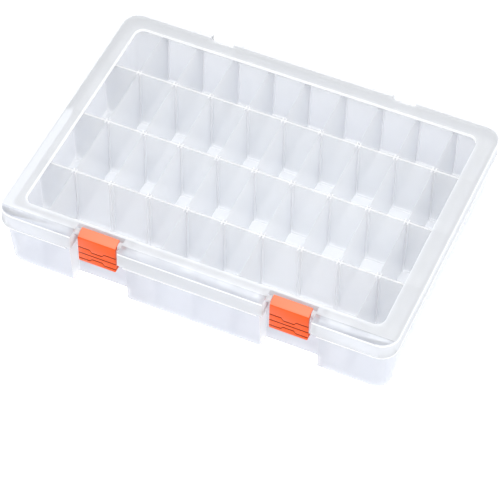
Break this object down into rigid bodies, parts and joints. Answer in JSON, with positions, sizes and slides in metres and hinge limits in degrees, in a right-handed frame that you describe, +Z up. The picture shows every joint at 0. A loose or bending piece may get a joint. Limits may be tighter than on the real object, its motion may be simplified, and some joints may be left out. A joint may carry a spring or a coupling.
{
  "type": "jewelry organizer box",
  "caption": "Shallow clear plastic storage box for small jewellery, with a hinged lid, snap latches and a grid of cells with lift-out dividers.",
  "frame": {"origin": "middle of the tray's underside, on the surface it stands on", "axes": "+X along the long side to the right, +Y towards the hinge, +Z up; the latches face -Y"},
  "size_m": [0.274, 0.2036, 0.052],
  "materials": {
    "tray_plastic": "clear to milky moulded polypropylene, smooth",
    "divider_plastic": "clear to milky moulded polypropylene plate, smooth",
    "lid_plastic": "clear window inside a finely frosted band and skirt",
    "latch_plastic": "opaque orange moulded plastic with fine grip grooves"
  },
  "bodies": {
    "tray_body": {"tray": "tray_plastic", "divider_row1_slot1": "divider_plastic", "divider_row1_slot2": "divider_plastic", "divider_row1_slot3": "divider_plastic", "divider_row1_slot4": "divider_plastic", "divider_row1_slot5": "divider_plastic", "divider_row1_slot6": "divider_plastic", "divider_row1_slot7": "divider_plastic", "divider_row1_slot8": "divider_plastic", "divider_row1_slot9": "divider_plastic", "divider_row2_slot1": "divider_plastic", "divider_row2_slot2": "divider_plastic", "divider_row2_slot3": "divider_plastic", "divider_row2_slot4": "divider_plastic", "divider_row2_slot5": "divider_plastic", "divider_row2_slot6": "divider_plastic", "divider_row2_slot7": "divider_plastic", "divider_row2_slot8": "divider_plastic", "divider_row2_slot9": "divider_plastic", "divider_row3_slot1": "divider_plastic", "divider_row3_slot2": "divider_plastic", "divider_row3_slot3": "divider_plastic", "divider_row3_slot4": "divider_plastic", "divider_row3_slot5": "divider_plastic", "divider_row3_slot6": "divider_plastic", "divider_row3_slot7": "divider_plastic", "divider_row3_slot8": "divider_plastic", "divider_row3_slot9": "divider_plastic", "divider_row4_slot1": "divider_plastic", "divider_row4_slot4": "divider_plastic", "divider_row4_slot5": "divider_plastic", "divider_row4_slot6": "divider_plastic", "divider_row4_slot9": "divider_plastic"},
    "lid_body": {"lid": "lid_plastic"},
    "latch_left_body": {"latch_left": "latch_plastic"},
    "latch_right_body": {"latch_right": "latch_plastic"}
  },
  "joints": [
    {"name": "lid_hinge", "type": "hinge", "parent": "tray_body", "child": "lid_body", "pos_m": [0, 0.1004, 0.0411], "axis": [-1, 0, 0], "range_deg": [0, 180]},
    {"name": "latch_left_pivot", "type": "hinge", "parent": "lid_body", "child": "latch_left_body", "pos_m": [-0.06625, -0.0911, 0.0488], "axis": [-1, 0, 0], "range_deg": [0, 100]},
    {"name": "latch_right_pivot", "type": "hinge", "parent": "lid_body", "child": "latch_right_body", "pos_m": [0.06625, -0.0911, 0.0488], "axis": [-1, 0, 0], "range_deg": [0, 100]}
  ]
}
